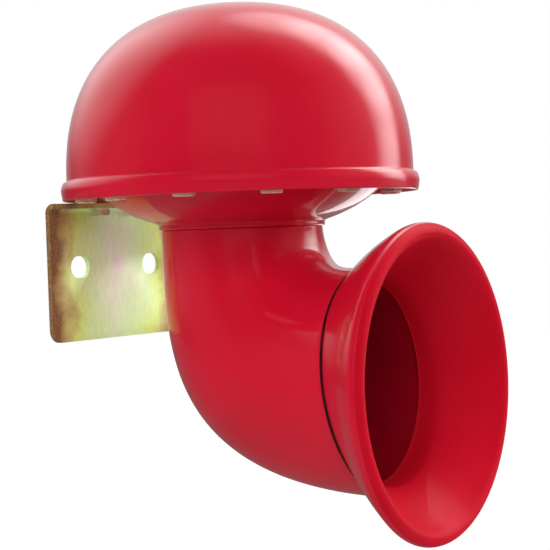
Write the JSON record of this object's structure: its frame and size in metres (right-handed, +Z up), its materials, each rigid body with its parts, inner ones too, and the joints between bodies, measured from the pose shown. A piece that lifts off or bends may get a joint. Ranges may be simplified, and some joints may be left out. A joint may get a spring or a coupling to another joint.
{
  "type": "motor-driven diaphragm horn",
  "caption": "Red alarm horn with a domed motor cover, a down-turned elbow and a flared bell, on an L-shaped wall bracket.",
  "frame": {"origin": "on the wall, midway between the centres of the two fixing slots in the back face of the bracket", "axes": "+X away from the wall, the way the bell faces; +Z up, parallel to the axis of the dome and of the motor"},
  "size_m": [0.1501, 0.1448, 0.1971],
  "materials": {
    "red_paint": "gloss enamel",
    "red_inner": "thin red enamel",
    "zinc_bracket": "yellow-passivated zinc, iridescent",
    "zinc_fastener": "yellow-passivated zinc",
    "bright_steel": "bright zinc",
    "hard_steel": "hardened and ground",
    "spring_steel": "rolled spring steel",
    "can_steel": "dull zinc",
    "gasket": "matt",
    "ferrite": "sintered",
    "lamination": "stacked sheet",
    "copper_wire": "enamelled copper",
    "copper": "turned copper",
    "bronze": "sintered bronze",
    "brass": "bright brass",
    "carbon": "pressed carbon",
    "card": "phenolic board",
    "black_moulding": "moulded",
    "capacitor_skin": "sleeved",
    "lead_skin": "flexible insulation"
  },
  "bodies": {
    "horn": {"dome_cover": "red_paint", "cover_ring": "red_inner", "captive_nuts": "zinc_fastener", "diaphragm_housing": "red_paint", "elbow": "red_paint", "bell": "red_paint", "bracket": "zinc_bracket", "bracket_spacers": "zinc_fastener", "bracket_screws": "zinc_fastener", "rim_screws": "zinc_fastener", "lower_gasket": "gasket", "diaphragm": "spring_steel", "upper_gasket": "gasket", "chassis_ring": "bright_steel", "motor_bridge": "bright_steel", "bridge_screws": "bright_steel", "can_screws": "bright_steel", "lower_bush": "bronze", "motor_can": "can_steel", "magnets": "ferrite", "brush_card": "card", "brush_holders": "brass", "brush_a_spring": "spring_steel", "brush_b_spring": "spring_steel", "end_cap": "can_steel", "cap_screws": "bright_steel", "upper_bush": "bronze", "lock_nut": "zinc_fastener", "terminal_block": "black_moulding", "terminal_tabs": "brass", "block_rivets": "bright_steel", "capacitor": "capacitor_skin", "motor_leads": "lead_skin"},
    "anvil": {"anvil_stud": "hard_steel", "anvil_washers": "bright_steel", "anvil_nut": "bright_steel"},
    "armature": {"armature_shaft": "hard_steel", "armature_core": "lamination", "armature_windings": "copper_wire", "commutator": "copper", "ratchet_wheel": "hard_steel", "wheel_set_screw": "hard_steel"},
    "brush_a": {"brush_a": "carbon"},
    "brush_b": {"brush_b": "carbon"},
    "thrust_pad": {"thrust_pad": "bronze"},
    "thrust_screw": {"thrust_screw": "bright_steel"}
  },
  "joints": [
    {"name": "armature_spin", "type": "hinge", "parent": "horn", "child": "armature", "pos_m": [0.054, 0, 0.0646], "axis": [0, 0, 1], "continuous": true},
    {"name": "anvil_beat", "type": "slide", "parent": "horn", "child": "anvil", "axis": [0, 0, 1], "range_m": [-0.0006, 0], "deforming": ["diaphragm"]},
    {"name": "brush_a_slide", "type": "slide", "parent": "horn", "child": "brush_a", "axis": [0, 1, 0], "range_m": [0, 0.002], "deforming": ["brush_a_spring"]},
    {"name": "brush_b_slide", "type": "slide", "parent": "horn", "child": "brush_b", "axis": [0, -1, 0], "range_m": [0, 0.002], "deforming": ["brush_b_spring"]},
    {"name": "thrust_pad_feed", "type": "slide", "parent": "horn", "child": "thrust_pad", "axis": [0, 0, 1], "range_m": [-0.0002, 0.0008]},
    {"name": "thrust_screw_turn", "type": "hinge", "parent": "thrust_pad", "child": "thrust_screw", "pos_m": [0.054, 0, 0.0866], "axis": [0, 0, 1], "range_deg": [-90, 360]}
  ],
  "couplings": [
    {"joint": "thrust_screw_turn", "follows": "thrust_pad_feed", "rad_per_m": 7854}
  ]
}
